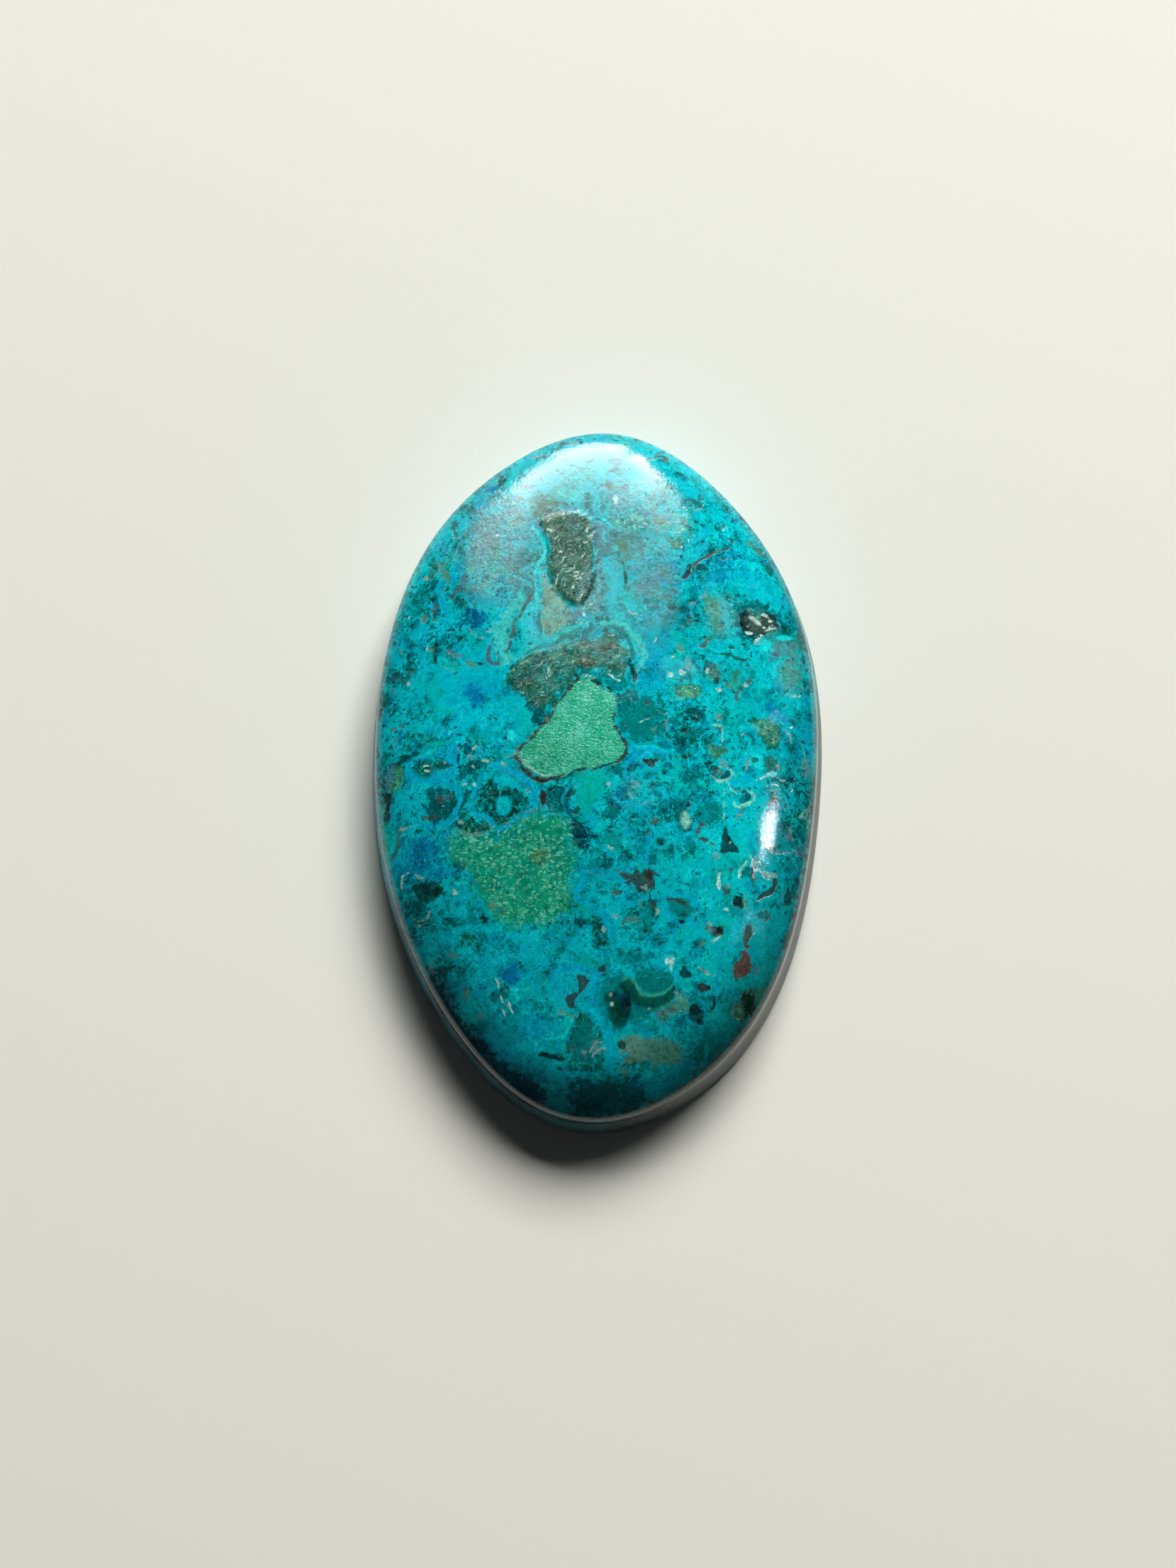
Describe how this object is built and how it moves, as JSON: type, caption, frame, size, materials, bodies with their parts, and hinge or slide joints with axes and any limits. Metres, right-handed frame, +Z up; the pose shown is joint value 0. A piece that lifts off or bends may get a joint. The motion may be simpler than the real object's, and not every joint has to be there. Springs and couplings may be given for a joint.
{
  "type": "chrysocolla cabochon",
  "caption": "Polished oval stone with a low dome, rounded shoulders and a flat back to rest or be set on.",
  "frame": {"origin": "middle of the stone's box, on the plane of its flat back", "axes": "+Y along the stone's length, +Z up through the crown of its dome"},
  "size_m": [0.025, 0.039, 0.0066],
  "materials": {
    "chrysocolla": "polished"
  },
  "bodies": {
    "root": {"polished_stone": "chrysocolla"}
  },
  "joints": []
}
